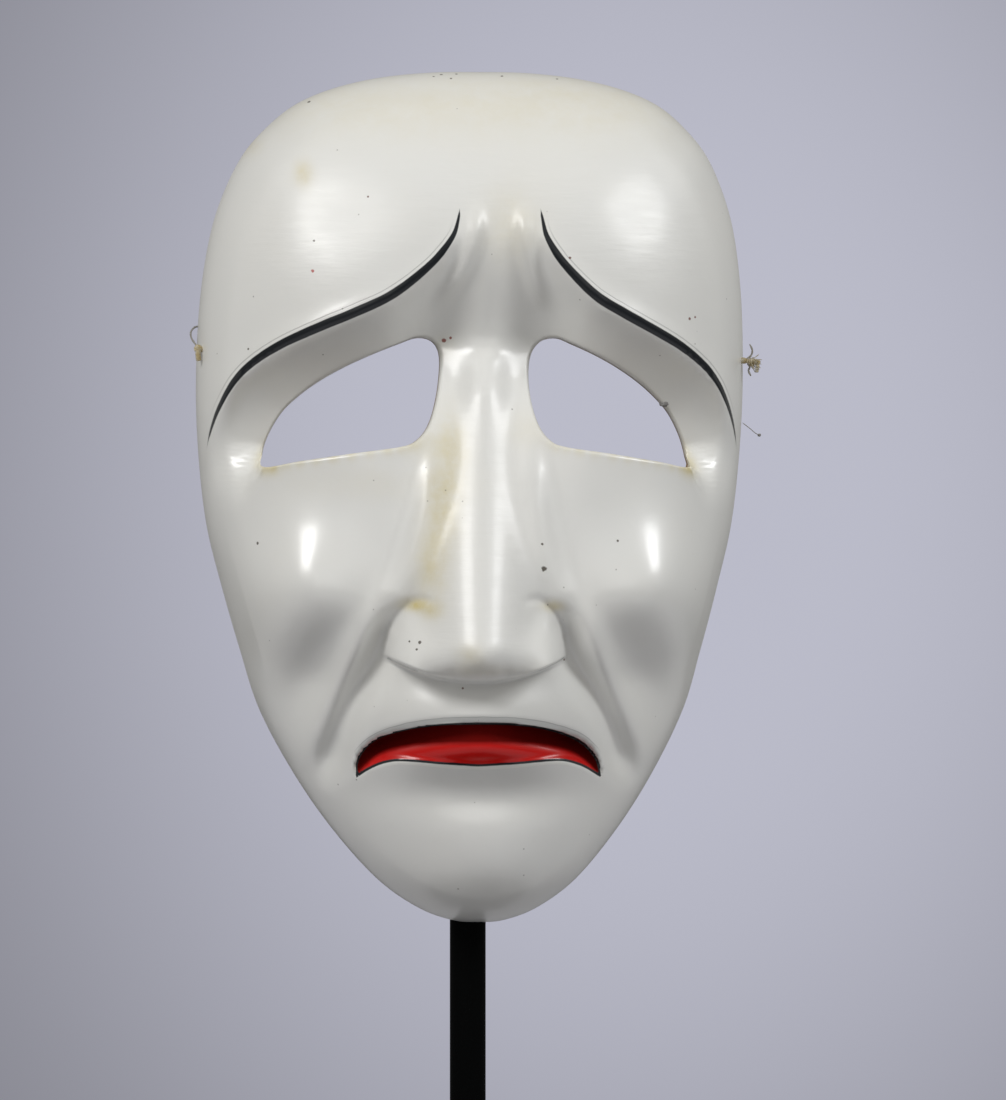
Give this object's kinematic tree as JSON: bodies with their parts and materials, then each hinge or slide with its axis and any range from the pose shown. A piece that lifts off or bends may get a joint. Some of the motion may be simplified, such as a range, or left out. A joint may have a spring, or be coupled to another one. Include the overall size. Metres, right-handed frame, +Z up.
{
  "type": "balinese dance mask on stand",
  "caption": "White-painted carved wooden Balinese dance mask with a sad face, pierced eyes and red lips, held upright on a black steel post with a round foot.",
  "frame": {"origin": "middle of the foot's underside, on the post's axis", "axes": "+Z up along the post, the mask faces -Y, +X to the right of someone who looks at the face"},
  "size_m": [0.17, 0.17, 0.3244],
  "materials": {
    "painted_wood": "satin white lacquer over carved light wood, brows painted black and lips red, bare wood inside",
    "black_steel": "matt black paint",
    "string": "frayed plant-fibre string"
  },
  "bodies": {
    "root": {"mask": "painted_wood", "post": "black_steel", "crossbar": "black_steel", "base": "black_steel", "tie_stub_left": "string", "tie_stub_right": "string"}
  },
  "joints": []
}
